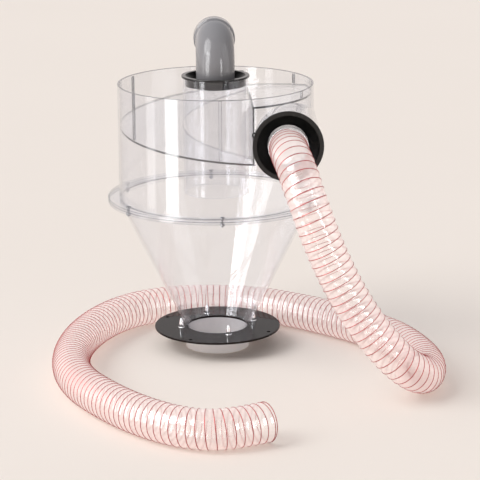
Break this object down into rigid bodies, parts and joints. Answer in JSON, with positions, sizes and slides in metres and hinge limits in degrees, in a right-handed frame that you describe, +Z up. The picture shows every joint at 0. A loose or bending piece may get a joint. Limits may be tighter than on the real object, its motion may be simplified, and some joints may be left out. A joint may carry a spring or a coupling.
{
  "type": "cyclone dust separator",
  "caption": "Clear plastic workshop cyclone dust separator with a spiral inlet ramp, a grey outlet elbow and a wire-wound dust hose.",
  "frame": {"origin": "centre of the dust outlet's lower rim, where the separator stands on the floor", "axes": "+Z up along the cyclone's axis; the inlet points along -Y at +X, and the outlet elbow's mouth points along +Y"},
  "size_m": [0.5954, 0.6751, 0.5195],
  "materials": {
    "clear_tube": "polished clear acrylic",
    "clear_sheet": "polished clear acrylic sheet with bright edges",
    "black_sheet": "gloss black sheet",
    "frosted_tube": "hazy clear tube",
    "black_moulding": "satin black moulding",
    "grey_pipe": "semi-gloss grey pipe plastic",
    "hose_film": "clear film, warm tint",
    "copper_wire": "coppered spring wire under the film",
    "dark_steel": "dull plated steel",
    "bright_steel": "bright plated steel"
  },
  "bodies": {
    "root": {"bin_flange": "black_sheet", "bin_screw_1": "bright_steel", "bin_screw_2": "bright_steel", "bin_screw_3": "bright_steel", "bin_screw_4": "bright_steel", "body_wall": "clear_tube", "cone": "clear_tube", "dust_outlet_ring": "frosted_tube", "hose": "hose_film", "hose_cuff": "hose_film", "inlet_collar": "black_moulding", "inlet_tube": "clear_tube", "joint_screw_1": "dark_steel", "joint_screw_2": "dark_steel", "joint_screw_3": "dark_steel", "joint_screw_4": "dark_steel", "joint_screw_5": "dark_steel", "joint_screw_6": "dark_steel", "lower_joint_ring": "clear_sheet", "outlet_collar": "black_moulding", "outlet_elbow": "grey_pipe", "outlet_tube": "clear_tube", "ramp_step_plate": "clear_sheet", "ramp_strip_1": "clear_sheet", "ramp_strip_2": "clear_sheet", "ramp_strip_3": "clear_sheet", "ramp_strip_4": "clear_sheet", "ramp_strip_5": "clear_sheet", "ramp_strip_6": "clear_sheet", "spiral_ramp": "clear_sheet", "upper_joint_ring": "clear_sheet"}
  },
  "joints": []
}
